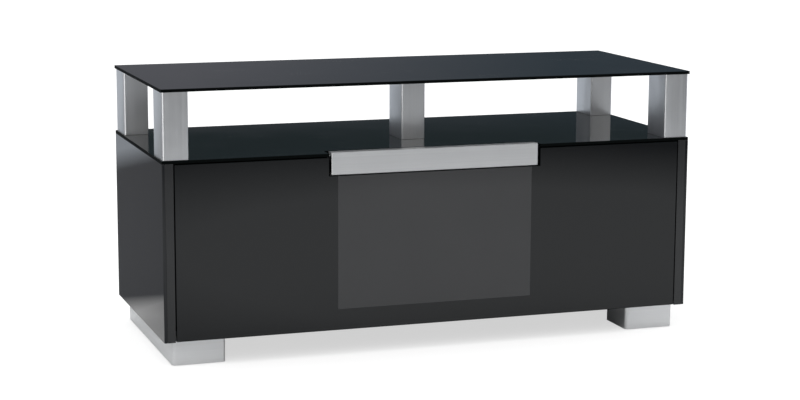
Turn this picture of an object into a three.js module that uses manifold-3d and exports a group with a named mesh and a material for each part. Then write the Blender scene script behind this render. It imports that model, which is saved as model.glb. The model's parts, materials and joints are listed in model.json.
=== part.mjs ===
// Media cabinet: a low glass-clad carcass on two folded aluminium feet, with a
// bottom-hinged drop flap, and a raised glass shelf on five aluminium posts.
// Millimetres, +Z up, front at -Y, origin on the floor under the middle.

import * as THREE from 'three';
import { mergeVertices } from 'three/addons/utils/BufferGeometryUtils.js';
import Module from 'manifold-3d';

// Overall size and the levels, from the floor up
const WIDTH = 1100;
const DEPTH = 450;
const FOOT_HEIGHT = 50;
const CARCASS_HEIGHT = 346;
const POST_HEIGHT = 130;
const GLASS = 6;
const BOARD = 16;
const HALF_WIDTH = WIDTH / 2;
const HALF_DEPTH = DEPTH / 2;
const DECK_UNDERSIDE = FOOT_HEIGHT + CARCASS_HEIGHT;
const DECK_TOP = DECK_UNDERSIDE + GLASS;
const SHELF_UNDERSIDE = DECK_TOP + POST_HEIGHT;

// Carcass boards
const SIDE_INNER = HALF_WIDTH - GLASS - BOARD;
const BACK_THICKNESS = 4;
const BOARD_REAR = HALF_DEPTH - 8;
const BOARD_FRONT = -197;
const TOP_BOARD_FRONT = -201;
const FLOOR_TOP = FOOT_HEIGHT + BOARD;
const CEILING = DECK_UNDERSIDE - BOARD;
const DIVIDER_X = 220;
const CABLE_SLOT_TOP = 140;
const HAND_NOTCH_HALF = 221;
const HAND_NOTCH_REAR = -189;
const NOTCH_EXTRA_HALF = 4;
const NOTCH_EXTRA_REAR = 3;

// Posts and their M8 bolts
const POST_WIDTH = 50;
const POST_DEPTH = 80;
const POST_WALL = 2.5;
const POST_INSET = 3;
const PLUG_HEIGHT = 20;
const BOLT_R = 4;
const BOLT_HOLE_R = 4.4;
const BOLT_HEAD = 6;
const BOLT_HEAD_R = 7.5;
const GLASS_HOLE_R = 5;
const BOLT_SHIFT = 8;
const CENTRE_POST_Y = -45;

// Feet: a folded sheet on the outside of each, and two blocks that carry the load
const FOOT_OUTER = 532;
const FOOT_INNER = 426;
const FOOT_FRONT = 208;
const FOOT_RETURN = 117;
const FOOT_SHEET = 3;
const FOOT_BEND_R = 8;
const FIT_GAP = 0.3;

// Drop flap and the extruded handle along its top
const FLAP_HALF = SIDE_INNER - 2;
const FLAP_BOTTOM = FOOT_HEIGHT + 1;
const FLAP_TOP = DECK_UNDERSIDE - 2;
const GLASS_BACK = -HALF_DEPTH + GLASS;
const FLAP_BACK = GLASS_BACK + BOARD;
const HANDLE_HALF = 216;
const HANDLE_BOTTOM = 360;
const HANDLE_TOP = DECK_TOP + 2;
const HANDLE_WALL = 3;
const HANDLE_LIP = 20;
const LIP_WALL = 2.5;
const LIP_DEPTH = 10;
const TONGUE_BOTTOM = 340;
const RAIL_TOP = 91;

// Hinge line and the friction stays. The stay's two pivots are equally far from
// the hinge line, so the rod turns exactly half as far as the flap.
const HINGE_Y = -216;
const HINGE_Z = 57;
const HINGE_BLOCK = 20;
const STAY_RADIUS = 180;
const HOUSING_ANGLE = THREE.MathUtils.degToRad(50);
const ROD_EYE_OFFSET = 27;
const STAY_X = 515;
const ROD_R = 4;
const ROD_LENGTH = 335;

const housingY = HINGE_Y + STAY_RADIUS * Math.cos(HOUSING_ANGLE);
const housingZ = HINGE_Z + STAY_RADIUS * Math.sin(HOUSING_ANGLE);
const eyeY = HINGE_Y + ROD_EYE_OFFSET;
const eyeZ = HINGE_Z + Math.sqrt(STAY_RADIUS ** 2 - ROD_EYE_OFFSET ** 2);
const rodTilt = Math.atan2(housingZ - eyeZ, housingY - eyeY);

const SIDES = [['left', -1], ['right', 1]];

// Materials, one description for each kind of stock
const STOCK = {
  blackGlass: { color: 0x0b0d10, roughness: 0.08, metalness: 0.0 },
  smokedGlass: { color: 0x3a3d40, roughness: 0.12, metalness: 0.0 },
  blackBoard: { color: 0x121212, roughness: 0.6, metalness: 0.0 },
  brushedAluminium: { color: 0xb9bdc2, roughness: 0.35, metalness: 1.0 },
  steel: { color: 0x9a9da1, roughness: 0.3, metalness: 1.0 },
  blackPlastic: { color: 0x1a1a1a, roughness: 0.5, metalness: 0.0 },
};

const cabinet = new THREE.Group();
const carcass = new THREE.Group();
const flap = new THREE.Group();
cabinet.add(carcass, flap);

function addPiece(group, name, geometry, stock) {
  const mesh = new THREE.Mesh(geometry, new THREE.MeshStandardMaterial(STOCK[stock]));
  mesh.name = name;
  group.add(mesh);
  return mesh;
}

// A rectangular block between two corners
function block(x0, x1, y0, y1, z0, z1) {
  const geometry = new THREE.BoxGeometry(Math.abs(x1 - x0), y1 - y0, z1 - z0);
  geometry.translate((x0 + x1) / 2, (y0 + y1) / 2, (z0 + z1) / 2);
  return geometry;
}

function outline(points) {
  return new THREE.Shape(points.map(([a, b]) => new THREE.Vector2(a, b)));
}

function roundHole(a, b, radius) {
  const hole = new THREE.Path();
  hole.absarc(a, b, radius, 0, Math.PI * 2, true);
  return hole;
}

// A plan outline (x, y) raised from z0 to z1
function raise(shape, z0, z1, curveSegments = 6) {
  const options = { depth: z1 - z0, bevelEnabled: false, curveSegments };
  return new THREE.ExtrudeGeometry(shape, options).translate(0, 0, z0);
}

// A side outline (y, z) carried along x from xa to xb
function carry(shape, xa, xb, curveSegments = 6) {
  const options = { depth: Math.abs(xb - xa), bevelEnabled: false, curveSegments };
  const geometry = new THREE.ExtrudeGeometry(shape, options);
  const axes = new THREE.Matrix4();
  axes.makeBasis(new THREE.Vector3(0, 1, 0), new THREE.Vector3(0, 0, 1), new THREE.Vector3(1, 0, 0));
  return geometry.applyMatrix4(axes).translate(Math.min(xa, xb), 0, 0);
}

// A rod of circular section along x
function pinAlongX(radius, xa, xb, y, z, sides = 20) {
  const geometry = new THREE.CylinderGeometry(radius, radius, Math.abs(xb - xa), sides);
  return geometry.rotateZ(Math.PI / 2).translate((xa + xb) / 2, y, z);
}

// Joining and cutting closed solids
const wasm = await Module();
wasm.setup();

function toSolid(geometry) {
  const bare = geometry.clone();
  bare.deleteAttribute('normal');
  bare.deleteAttribute('uv');
  const merged = mergeVertices(bare, 1e-4);
  return new wasm.Manifold(new wasm.Mesh({
    numProp: 3,
    vertProperties: new Float32Array(merged.attributes.position.array),
    triVerts: new Uint32Array(merged.index.array),
  }));
}

function toGeometry(solid) {
  const mesh = solid.getMesh();
  const geometry = new THREE.BufferGeometry();
  geometry.setAttribute('position', new THREE.BufferAttribute(new Float32Array(mesh.vertProperties), 3));
  geometry.setIndex(new THREE.BufferAttribute(new Uint32Array(mesh.triVerts), 1));
  geometry.computeVertexNormals();
  return geometry;
}

function join(...geometries) {
  return toGeometry(geometries.map(toSolid).reduce((sum, next) => sum.add(next)));
}

function cut(geometry, ...tools) {
  const solid = tools.map(toSolid).reduce((rest, tool) => rest.subtract(tool), toSolid(geometry));
  return toGeometry(solid);
}

// Where each post stands, and where its bolt comes up: the corner bolts sit a
// little inwards, so that their heads clear the side boards
const cornerX = HALF_WIDTH - POST_INSET - POST_WIDTH / 2;
const cornerY = HALF_DEPTH - POST_INSET - POST_DEPTH / 2;
const POSTS = [
  { name: 'front_left', x: -cornerX, y: -cornerY, boltX: -cornerX + BOLT_SHIFT },
  { name: 'front_right', x: cornerX, y: -cornerY, boltX: cornerX - BOLT_SHIFT },
  { name: 'rear_left', x: -cornerX, y: cornerY, boltX: -cornerX + BOLT_SHIFT },
  { name: 'rear_right', x: cornerX, y: cornerY, boltX: cornerX - BOLT_SHIFT },
  { name: 'centre', x: 0, y: CENTRE_POST_Y, boltX: 0 },
];

// Upper shelf: one sheet of glass with slightly eased corners
function roundedRectangle(halfX, halfY, radius) {
  const shape = new THREE.Shape();
  shape.absarc(halfX - radius, halfY - radius, radius, 0, Math.PI / 2, false);
  shape.absarc(-halfX + radius, halfY - radius, radius, Math.PI / 2, Math.PI, false);
  shape.absarc(-halfX + radius, -halfY + radius, radius, Math.PI, Math.PI * 1.5, false);
  shape.absarc(halfX - radius, -halfY + radius, radius, Math.PI * 1.5, Math.PI * 2, false);
  shape.closePath();
  return shape;
}

const SHELF_CORNER_R = 2;
const shelfSheet = roundedRectangle(HALF_WIDTH, HALF_DEPTH, SHELF_CORNER_R);
const shelfGeometry = raise(shelfSheet, SHELF_UNDERSIDE, SHELF_UNDERSIDE + GLASS, 3);
addPiece(carcass, 'top_glass', shelfGeometry, 'blackGlass');

// Deck glass and the board under it, both notched at the front for the hand
function notchedSheet(halfX, front, rear, notchHalf, notchRear, holeRadius) {
  const sheet = outline([
    [-halfX, front], [-notchHalf, front], [-notchHalf, notchRear],
    [notchHalf, notchRear], [notchHalf, front], [halfX, front],
    [halfX, rear], [-halfX, rear],
  ]);
  for (const post of POSTS) sheet.holes.push(roundHole(post.boltX, post.y, holeRadius));
  return sheet;
}

const deckSheet = notchedSheet(
  HALF_WIDTH, -HALF_DEPTH, HALF_DEPTH, HAND_NOTCH_HALF, HAND_NOTCH_REAR, GLASS_HOLE_R,
);
const deckGeometry = raise(deckSheet, DECK_UNDERSIDE, DECK_TOP, 4);
addPiece(carcass, 'deck_glass', deckGeometry, 'blackGlass');

const boardNotchHalf = HAND_NOTCH_HALF + NOTCH_EXTRA_HALF;
const boardNotchRear = HAND_NOTCH_REAR + NOTCH_EXTRA_REAR;
const topBoardSheet = notchedSheet(
  SIDE_INNER, TOP_BOARD_FRONT, BOARD_REAR, boardNotchHalf, boardNotchRear, BOLT_HOLE_R,
);
const topBoardGeometry = raise(topBoardSheet, CEILING, DECK_UNDERSIDE, 4);
addPiece(carcass, 'top_board', topBoardGeometry, 'blackBoard');

const floorGeometry = block(-SIDE_INNER, SIDE_INNER, BOARD_FRONT, BOARD_REAR, FOOT_HEIGHT, FLOOR_TOP);
addPiece(carcass, 'bottom_board', floorGeometry, 'blackBoard');

// Side boards, drilled for the hinge bush and the stay's stud, with glass outside
const BUSH_HOLE_R = 5.5;
const STUD_HOLE_R = 4.5;
for (const [side, s] of SIDES) {
  const boardSide = outline([
    [-HALF_DEPTH, FOOT_HEIGHT], [BOARD_REAR, FOOT_HEIGHT],
    [BOARD_REAR, DECK_UNDERSIDE], [-HALF_DEPTH, DECK_UNDERSIDE],
  ]);
  boardSide.holes.push(roundHole(HINGE_Y, HINGE_Z, BUSH_HOLE_R));
  boardSide.holes.push(roundHole(housingY, housingZ, STUD_HOLE_R));
  const boardGeometry = carry(boardSide, s * SIDE_INNER, s * (SIDE_INNER + BOARD));
  addPiece(carcass, `side_board_${side}`, boardGeometry, 'blackBoard');
  const glassGeometry = block(
    s * (HALF_WIDTH - GLASS), s * HALF_WIDTH, -HALF_DEPTH, HALF_DEPTH, FOOT_HEIGHT, DECK_UNDERSIDE,
  );
  addPiece(carcass, `side_glass_${side}`, glassGeometry, 'blackGlass');
}

// Two dividers make three bays; the middle one has a loose shelf on four pins
const PIN_R = 2.5;
const PIN_HOLE_R = 2.9;
const CENTRE_SHELF_Z = 196;
const SHELF_FRONT = -150;
const SHELF_REAR = 205;
const PIN_Z = CENTRE_SHELF_Z - PIN_R - FIT_GAP;
const PIN_ROWS = [['front', -110], ['rear', 165]];
const PIN_BURIED = 6;
const PIN_END = 9;
const SHELF_PLAY = 2;
const dividerInner = DIVIDER_X - BOARD / 2;
for (const [side, s] of SIDES) {
  const dividerSide = outline([
    [BOARD_FRONT, FLOOR_TOP], [BOARD_REAR, FLOOR_TOP], [BOARD_REAR, CEILING], [BOARD_FRONT, CEILING],
  ]);
  for (const [, y] of PIN_ROWS) dividerSide.holes.push(roundHole(y, PIN_Z, PIN_HOLE_R));
  const dividerGeometry = carry(dividerSide, s * dividerInner, s * (dividerInner + BOARD), 4);
  addPiece(carcass, `divider_${side}`, dividerGeometry, 'blackBoard');
  for (const [row, y] of PIN_ROWS) {
    const pinStart = s * (dividerInner - PIN_BURIED);
    const pinGeometry = pinAlongX(PIN_R, pinStart, s * (dividerInner + PIN_END), y, PIN_Z, 12);
    addPiece(carcass, `shelf_pin_${row}_${side}`, pinGeometry, 'steel');
  }
}
const centreShelfHalf = dividerInner - SHELF_PLAY;
const centreShelfGeometry = block(
  -centreShelfHalf, centreShelfHalf, SHELF_FRONT, SHELF_REAR, CENTRE_SHELF_Z, CENTRE_SHELF_Z + BOARD,
);
addPiece(carcass, 'centre_shelf', centreShelfGeometry, 'blackBoard');

// Back in three thin panels; the middle one stops short for the cables
const backRear = BOARD_REAR + BACK_THICKNESS;
for (const [side, s] of SIDES) {
  const panelGeometry = block(
    s * DIVIDER_X, s * (SIDE_INNER + BOARD), BOARD_REAR, backRear, FOOT_HEIGHT, DECK_UNDERSIDE,
  );
  addPiece(carcass, `back_panel_${side}`, panelGeometry, 'blackBoard');
}
const centreBackGeometry = block(
  -DIVIDER_X, DIVIDER_X, BOARD_REAR, backRear, CABLE_SLOT_TOP, DECK_UNDERSIDE,
);
addPiece(carcass, 'back_panel_centre', centreBackGeometry, 'blackBoard');

// Posts: rectangular tube, a plug pressed into the foot of each, and its bolt
const TUBE_CORNER_R = 3;
const PLUG_CORNER_R = 1;
const SHANK_SHORT = 2;
function tubeSection(halfX, halfY, wall) {
  const section = roundedRectangle(halfX, halfY, TUBE_CORNER_R);
  section.holes.push(roundedRectangle(halfX - wall, halfY - wall, TUBE_CORNER_R - wall));
  return section;
}

for (const { name, x, y, boltX } of POSTS) {
  const tube = raise(tubeSection(POST_WIDTH / 2, POST_DEPTH / 2, POST_WALL), 0, POST_HEIGHT, 3);
  const post = addPiece(carcass, `post_${name}`, tube, 'brushedAluminium');
  post.position.set(x, y, DECK_TOP);

  const plugHalfX = POST_WIDTH / 2 - POST_WALL - FIT_GAP;
  const plugHalfY = POST_DEPTH / 2 - POST_WALL - FIT_GAP;
  const plugSection = roundedRectangle(plugHalfX, plugHalfY, PLUG_CORNER_R);
  plugSection.holes.push(roundHole(boltX - x, 0, BOLT_HOLE_R));
  const plug = addPiece(carcass, `post_plug_${name}`, raise(plugSection, 0, PLUG_HEIGHT, 4), 'steel');
  plug.position.set(x, y, DECK_TOP);

  const shankLength = DECK_TOP + PLUG_HEIGHT - SHANK_SHORT - CEILING;
  const head = new THREE.CylinderGeometry(BOLT_HEAD_R, BOLT_HEAD_R, BOLT_HEAD, 6);
  head.rotateX(Math.PI / 2).translate(0, 0, -BOLT_HEAD / 2);
  const shank = new THREE.CylinderGeometry(BOLT_R, BOLT_R, shankLength + 1, 16);
  shank.rotateX(Math.PI / 2).translate(0, 0, (shankLength - 1) / 2);
  const bolt = addPiece(carcass, `post_bolt_${name}`, join(head, shank), 'steel');
  bolt.position.set(boltX, y, CEILING);
}

// Feet: one sheet folded round the front, the outer side and the rear of each
// end, closed towards the middle by short returns, over two hardwood blocks
function footSection() {
  const [xi, xo, yf, r, t] = [FOOT_INNER, FOOT_OUTER, FOOT_FRONT, FOOT_BEND_R, FOOT_SHEET];
  const quarter = Math.PI / 2;
  const shape = new THREE.Shape();
  shape.moveTo(xi, -FOOT_RETURN);
  shape.absarc(xi + r, -yf + r, r, 2 * quarter, 3 * quarter, false);
  shape.absarc(xo - r, -yf + r, r, 3 * quarter, 4 * quarter, false);
  shape.absarc(xo - r, yf - r, r, 0, quarter, false);
  shape.absarc(xi + r, yf - r, r, quarter, 2 * quarter, false);
  shape.lineTo(xi, FOOT_RETURN);
  shape.lineTo(xi + t, FOOT_RETURN);
  shape.absarc(xi + r, yf - r, r - t, 2 * quarter, quarter, true);
  shape.absarc(xo - r, yf - r, r - t, quarter, 0, true);
  shape.absarc(xo - r, -yf + r, r - t, 4 * quarter, 3 * quarter, true);
  shape.absarc(xi + r, -yf + r, r - t, 3 * quarter, 2 * quarter, true);
  shape.lineTo(xi + t, -FOOT_RETURN);
  shape.closePath();
  return shape;
}

const FOOT_CLEARANCE = 1;
const FOOT_BLOCK_R = 6;
const footBlockInner = FOOT_INNER + FOOT_SHEET + FIT_GAP;
const footBlockOuter = FOOT_OUTER - FOOT_SHEET - FIT_GAP;
const footBlockFront = FOOT_FRONT - FOOT_SHEET - FIT_GAP;
for (const [side, s] of SIDES) {
  const folded = raise(footSection(), FOOT_CLEARANCE, FOOT_HEIGHT, 4);
  const sheet = addPiece(carcass, `foot_fascia_${side}`, folded, 'brushedAluminium');
  sheet.rotation.z = s > 0 ? 0 : Math.PI;
  const blockHalfX = (footBlockOuter - footBlockInner) / 2;
  const blockHalfY = (footBlockFront - FOOT_RETURN) / 2;
  const blockX = s * (footBlockOuter + footBlockInner) / 2;
  const blockY = (footBlockFront + FOOT_RETURN) / 2;
  for (const [end, e] of [['front', -1], ['rear', 1]]) {
    const footBlock = raise(roundedRectangle(blockHalfX, blockHalfY, FOOT_BLOCK_R), 0, FOOT_HEIGHT, 2);
    const mesh = addPiece(carcass, `foot_block_${end}_${side}`, footBlock, 'blackBoard');
    mesh.position.set(blockX, e * blockY, 0);
  }
}

// Hinge bushes in the side boards, and magnetic catches under the top board
const CATCH_X = 300;
const BUSH_BORE_R = 3.3;
const BUSH_LENGTH = 12;
const MAGNET_HALF = 14;
const MAGNET_HEIGHT = 15;
const MAGNET_REAR = -180;
const magnetFront = TOP_BOARD_FRONT + 0.5;
for (const [side, s] of SIDES) {
  const ring = new THREE.Shape();
  ring.absarc(HINGE_Y, HINGE_Z, BUSH_HOLE_R - FIT_GAP, 0, Math.PI * 2, false);
  ring.holes.push(roundHole(HINGE_Y, HINGE_Z, BUSH_BORE_R));
  const bushGeometry = carry(ring, s * (SIDE_INNER + FIT_GAP), s * (SIDE_INNER + BUSH_LENGTH), 8);
  addPiece(carcass, `hinge_bush_${side}`, bushGeometry, 'blackPlastic');
  const [magnetX0, magnetX1] = [s * CATCH_X - MAGNET_HALF, s * CATCH_X + MAGNET_HALF];
  const magnetGeometry = block(
    magnetX0, magnetX1, magnetFront, MAGNET_REAR, CEILING - MAGNET_HEIGHT, CEILING,
  );
  addPiece(carcass, `catch_magnet_${side}`, magnetGeometry, 'blackPlastic');
}

// Stay housings: a block that swivels on a stud in the side board, bored for the rod
const HOUSING_HALF = { x: 9, y: 18, z: 10 };
const STUD_R = 3.9;
const STUD_END = 25;
const BORE_R = ROD_R + 0.4;
const { x: halfX, y: halfY, z: halfZ } = HOUSING_HALF;
for (const [side, s] of SIDES) {
  const body = block(-halfX, halfX, -halfY, halfY, -halfZ, halfZ);
  const stud = pinAlongX(STUD_R, s * (halfX - 1), s * STUD_END, 0, 0);
  const bore = new THREE.CylinderGeometry(BORE_R, BORE_R, 2 * halfY + 4, 20);
  const housing = addPiece(carcass, `stay_housing_${side}`, cut(join(body, stud), bore), 'steel');
  housing.position.set(s * STAY_X, housingY, housingZ);
  housing.rotation.x = rodTilt;
}

// Flap: full-width glass with the handle's notch at its top edge
const flapNotchFloor = HANDLE_BOTTOM - 2;
const flapSheet = outline([
  [-FLAP_HALF, FLAP_BOTTOM], [FLAP_HALF, FLAP_BOTTOM], [FLAP_HALF, FLAP_TOP],
  [HAND_NOTCH_HALF, FLAP_TOP], [HAND_NOTCH_HALF, flapNotchFloor],
  [-HAND_NOTCH_HALF, flapNotchFloor], [-HAND_NOTCH_HALF, FLAP_TOP], [-FLAP_HALF, FLAP_TOP],
]);
const flapGeometry = raise(flapSheet, 0, GLASS).rotateX(Math.PI / 2).translate(0, GLASS_BACK, 0);
addPiece(flap, 'flap_glass', flapGeometry, 'blackGlass');

// Flap backing: a board each side of the window, a rail below it and the pane
for (const [side, s] of SIDES) {
  const cornerX0 = s * (FLAP_HALF - HINGE_BLOCK - FIT_GAP);
  const cornerZ0 = FLAP_BOTTOM + HINGE_BLOCK + FIT_GAP;
  const panelFront = outline([
    [s * HAND_NOTCH_HALF, FLAP_BOTTOM], [cornerX0, FLAP_BOTTOM], [cornerX0, cornerZ0],
    [s * FLAP_HALF, cornerZ0], [s * FLAP_HALF, FLAP_TOP], [s * HAND_NOTCH_HALF, FLAP_TOP],
  ]);
  const panelGeometry = raise(panelFront, 0, BOARD).rotateX(Math.PI / 2).translate(0, FLAP_BACK, 0);
  addPiece(flap, `flap_panel_${side}`, panelGeometry, 'blackBoard');
}
const railGeometry = block(
  -HAND_NOTCH_HALF, HAND_NOTCH_HALF, GLASS_BACK, FLAP_BACK, FLAP_BOTTOM, RAIL_TOP,
);
addPiece(flap, 'flap_rail', railGeometry, 'blackBoard');
const PANE = 3;
const PANE_PLAY = 1;
const paneHalf = HAND_NOTCH_HALF - PANE_PLAY;
const paneGeometry = block(
  -paneHalf, paneHalf, GLASS_BACK, GLASS_BACK + PANE, RAIL_TOP + PANE_PLAY, HANDLE_BOTTOM - 4,
);
addPiece(flap, 'window_pane', paneGeometry, 'smokedGlass');

// Handle: one extrusion, with a hollow behind its face and a lip to pull
const faceBack = -HALF_DEPTH + HANDLE_WALL;
const lipRear = -HALF_DEPTH + HANDLE_LIP;
const lipFront = lipRear - LIP_WALL;
const lipBottom = HANDLE_TOP - LIP_DEPTH;
const flangeUnderside = HANDLE_TOP - HANDLE_WALL;
const tongueFront = GLASS_BACK + PANE;
const tongueBack = tongueFront + HANDLE_WALL;
const handleSection = outline([
  [-HALF_DEPTH, HANDLE_BOTTOM], [tongueFront, HANDLE_BOTTOM], [tongueFront, TONGUE_BOTTOM],
  [tongueBack, TONGUE_BOTTOM], [tongueBack, HANDLE_BOTTOM + HANDLE_WALL],
  [faceBack, HANDLE_BOTTOM + HANDLE_WALL], [faceBack, flangeUnderside], [lipFront, flangeUnderside],
  [lipFront, lipBottom], [lipRear, lipBottom], [lipRear, HANDLE_TOP], [-HALF_DEPTH, HANDLE_TOP],
]);
addPiece(flap, 'handle', carry(handleSection, -HANDLE_HALF, HANDLE_HALF), 'brushedAluminium');

// Flap hardware at each end: hinge pin, catch plate, stay bracket and stay rod
const HINGE_PIN_R = 3;
const PLATE_HALF = 12;
const PLATE_THICKNESS = 2;
const PLATE_TOP = CEILING - 2;
const PLATE_HEIGHT = 14;
const BASE_THICKNESS = 2.5;
const BASE_HALF_HEIGHT = 20;
const BASE_WIDTH = 23;
const EAR_HALF = 12;
const EAR_R = 7;
const EAR_THICKNESS = 5;
const EYE_PIN_R = 3;
const EYE_HOLE_R = 3.4;
const EYE_R = 8;
const EYE_HALF = 4;
const SHAFT_START = 6;
const earFace = STAY_X - 7;
for (const [side, s] of SIDES) {
  const hingeBlock = block(
    s * (FLAP_HALF - HINGE_BLOCK), s * FLAP_HALF, GLASS_BACK, FLAP_BACK,
    FLAP_BOTTOM, FLAP_BOTTOM + HINGE_BLOCK,
  );
  const hingePin = pinAlongX(HINGE_PIN_R, s * (FLAP_HALF - 4), s * (FLAP_HALF + 10), HINGE_Y, HINGE_Z);
  addPiece(flap, `hinge_pin_${side}`, join(hingeBlock, hingePin), 'steel');

  const [plateX0, plateX1] = [s * CATCH_X - PLATE_HALF, s * CATCH_X + PLATE_HALF];
  const plateGeometry = block(
    plateX0, plateX1, FLAP_BACK, FLAP_BACK + PLATE_THICKNESS, PLATE_TOP - PLATE_HEIGHT, PLATE_TOP,
  );
  addPiece(flap, `catch_plate_${side}`, plateGeometry, 'steel');

  const base = block(
    s * (earFace - BASE_WIDTH), s * earFace, FLAP_BACK, FLAP_BACK + BASE_THICKNESS,
    eyeZ - BASE_HALF_HEIGHT, eyeZ + BASE_HALF_HEIGHT,
  );
  const earSection = new THREE.Shape();
  earSection.moveTo(FLAP_BACK, eyeZ - EAR_HALF);
  earSection.absarc(eyeY, eyeZ, EAR_R, -Math.PI / 2, Math.PI / 2, false);
  earSection.lineTo(FLAP_BACK, eyeZ + EAR_HALF);
  earSection.closePath();
  const ear = carry(earSection, s * (earFace - EAR_THICKNESS), s * earFace, 8);
  const pivot = pinAlongX(EYE_PIN_R, s * (earFace - 1), s * (STAY_X + 6), eyeY, eyeZ);
  addPiece(flap, `stay_bracket_${side}`, join(base, ear, pivot), 'steel');

  const eye = pinAlongX(EYE_R, -EYE_HALF, EYE_HALF, 0, 0, 24);
  const eyeHole = pinAlongX(EYE_HOLE_R, -EYE_HALF - 1, EYE_HALF + 1, 0, 0);
  const shaft = new THREE.CylinderGeometry(ROD_R, ROD_R, ROD_LENGTH - SHAFT_START, 16);
  shaft.translate(0, (ROD_LENGTH + SHAFT_START) / 2, 0);
  const rod = addPiece(flap, `stay_rod_${side}`, cut(join(eye, shaft), eyeHole), 'steel');
  rod.position.set(s * STAY_X, eyeY, eyeZ);
  rod.rotation.x = rodTilt;
}

export default cabinet;
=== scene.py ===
# A low media cabinet: a carcass of black laminated board clad in black glass, a drop flap across
# the front, a raised glass shelf on five brushed aluminium posts, and two folded aluminium feet.
import json
import math
import bmesh
import bpy
from mathutils import Matrix, Vector


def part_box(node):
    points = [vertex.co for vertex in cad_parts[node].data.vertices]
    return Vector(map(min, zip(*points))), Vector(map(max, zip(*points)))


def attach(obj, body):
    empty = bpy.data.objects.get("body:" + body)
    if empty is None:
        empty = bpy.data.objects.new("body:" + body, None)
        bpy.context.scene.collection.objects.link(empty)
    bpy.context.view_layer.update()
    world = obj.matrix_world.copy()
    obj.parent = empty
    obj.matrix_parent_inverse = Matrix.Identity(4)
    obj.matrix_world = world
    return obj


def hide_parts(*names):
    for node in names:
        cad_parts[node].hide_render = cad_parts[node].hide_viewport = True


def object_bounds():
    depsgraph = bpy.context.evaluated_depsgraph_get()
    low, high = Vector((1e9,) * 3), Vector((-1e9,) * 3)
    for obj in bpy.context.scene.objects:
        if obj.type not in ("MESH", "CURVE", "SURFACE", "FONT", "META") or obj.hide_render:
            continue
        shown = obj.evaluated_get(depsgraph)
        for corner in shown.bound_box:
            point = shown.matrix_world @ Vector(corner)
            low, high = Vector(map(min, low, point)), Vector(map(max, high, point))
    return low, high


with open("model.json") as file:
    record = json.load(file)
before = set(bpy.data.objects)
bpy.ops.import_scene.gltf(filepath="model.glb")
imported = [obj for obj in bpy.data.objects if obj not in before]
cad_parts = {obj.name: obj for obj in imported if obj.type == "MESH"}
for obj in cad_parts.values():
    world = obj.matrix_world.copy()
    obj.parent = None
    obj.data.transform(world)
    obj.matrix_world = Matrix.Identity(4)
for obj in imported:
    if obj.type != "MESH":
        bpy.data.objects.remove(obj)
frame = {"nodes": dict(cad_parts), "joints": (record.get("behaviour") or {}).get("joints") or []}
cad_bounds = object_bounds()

# ---------------------------------------------------------------- carcass boards
# Fibreboard faced with satin black laminate, the two side boards lacquered to a gloss. They are
# sawn square, glued and dowelled into a box, and a thin plastic band closes their front edges.
MM = 0.001


class Nodes:
    """Places and wires the nodes of one material or node group."""

    COLUMN_STEP = 180
    ROW_STEP = 160
    ROWS = 4
    MIX_FACTOR, MIX_A, MIX_B, MIX_RESULT = 0, 6, 7, 2

    def __init__(self, tree):
        self.tree = tree
        self.column = 0

    def add(self, kind, inputs=None, **settings):
        node = self.tree.nodes.new(kind)
        node.location = (self.column * self.COLUMN_STEP, -(self.column % self.ROWS) * self.ROW_STEP)
        self.column += 1
        for key, value in settings.items():
            setattr(node, key, value)
        for key, value in (inputs or {}).items():
            if isinstance(value, bpy.types.NodeSocket):
                self.tree.links.new(value, node.inputs[key])
            else:
                node.inputs[key].default_value = value
        return node

    def math(self, operation, a, b=0.0, c=0.0):
        return self.add("ShaderNodeMath", {0: a, 1: b, 2: c}, operation=operation).outputs[0]

    def ramp(self, value, low, high, to_low=0.0, to_high=1.0):
        inputs = {"Value": value, "From Min": low, "From Max": high, "To Min": to_low, "To Max": to_high}
        return self.add("ShaderNodeMapRange", inputs, clamp=True).outputs["Result"]

    def mix(self, factor, a, b):
        node = self.add("ShaderNodeMix", data_type="RGBA")
        for index, value in ((self.MIX_FACTOR, factor), (self.MIX_A, a), (self.MIX_B, b)):
            if isinstance(value, bpy.types.NodeSocket):
                self.tree.links.new(value, node.inputs[index])
            else:
                node.inputs[index].default_value = value
        return node.outputs[self.MIX_RESULT]

    def noise(self, vector, scale, detail=3.0, roughness=0.5):
        inputs = {"Vector": vector, "Scale": scale, "Detail": detail, "Roughness": roughness}
        return self.add("ShaderNodeTexNoise", inputs).outputs["Fac"]

    def group(self, tree, **values):
        node = self.add("ShaderNodeGroup", node_tree=tree)
        for key, value in values.items():
            socket = node.inputs[key.replace("_", " ")]
            if isinstance(value, bpy.types.NodeSocket):
                self.tree.links.new(value, socket)
            else:
                socket.default_value = value
        return node.outputs


def effect(name, inputs, outputs):
    """An empty shader node group with named sockets, and the nodes to fill it with."""
    tree = bpy.data.node_groups.new(name, "ShaderNodeTree")
    for label, kind, value in inputs:
        socket = tree.interface.new_socket(label, in_out="INPUT", socket_type=kind)
        socket.default_value = value
    for label, kind in outputs:
        tree.interface.new_socket(label, in_out="OUTPUT", socket_type=kind)
    n = Nodes(tree)
    return tree, n, n.add("NodeGroupInput").outputs, n.add("NodeGroupOutput").inputs


def material(name, **settings):
    """A material with one Principled shader, its uniform values set on the shader's own sockets."""
    made = bpy.data.materials.new(name)
    made.use_nodes = True
    shader = made.node_tree.nodes["Principled BSDF"]
    for key, value in settings.items():
        shader.inputs[key.replace("_", " ")].default_value = value
    n = Nodes(made.node_tree)
    place = n.add("ShaderNodeTexCoord").outputs["Object"]
    return made, n, place, shader


def connect(n, output, socket):
    n.tree.links.new(output, socket)


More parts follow.
